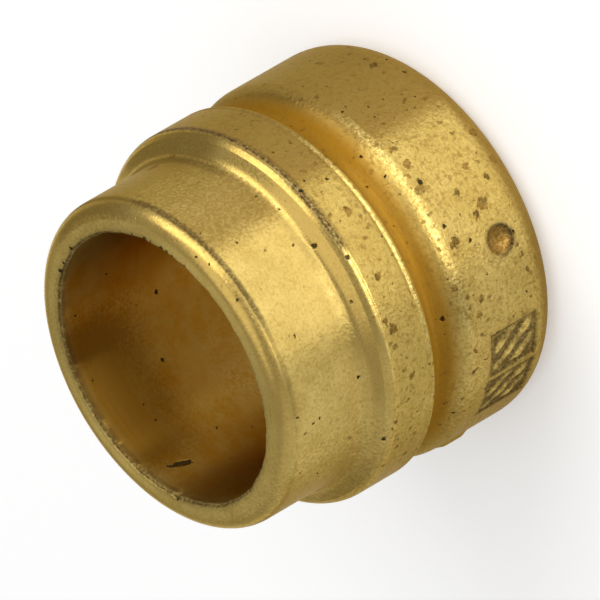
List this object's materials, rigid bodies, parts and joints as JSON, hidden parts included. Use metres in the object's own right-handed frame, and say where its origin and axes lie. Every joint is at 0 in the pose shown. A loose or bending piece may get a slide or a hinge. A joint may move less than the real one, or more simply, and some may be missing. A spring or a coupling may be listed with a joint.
{
  "type": "compression olive",
  "caption": "One-piece brass compression olive: a turned ring with a through bore, round-edged nose, collar, collapse groove and rear ring, squeezed onto a tube by its nut.",
  "frame": {"origin": "centre of the bore at the rear face, on which the ring stands", "axes": "+Z along the bore towards the nose; the punch mark on the rear ring faces -Y"},
  "size_m": [0.014, 0.014, 0.012],
  "materials": {
    "brass": "turned brass, handled and tarnished, with small dark pits"
  },
  "bodies": {
    "root": {"compression_olive": "brass"}
  },
  "joints": []
}
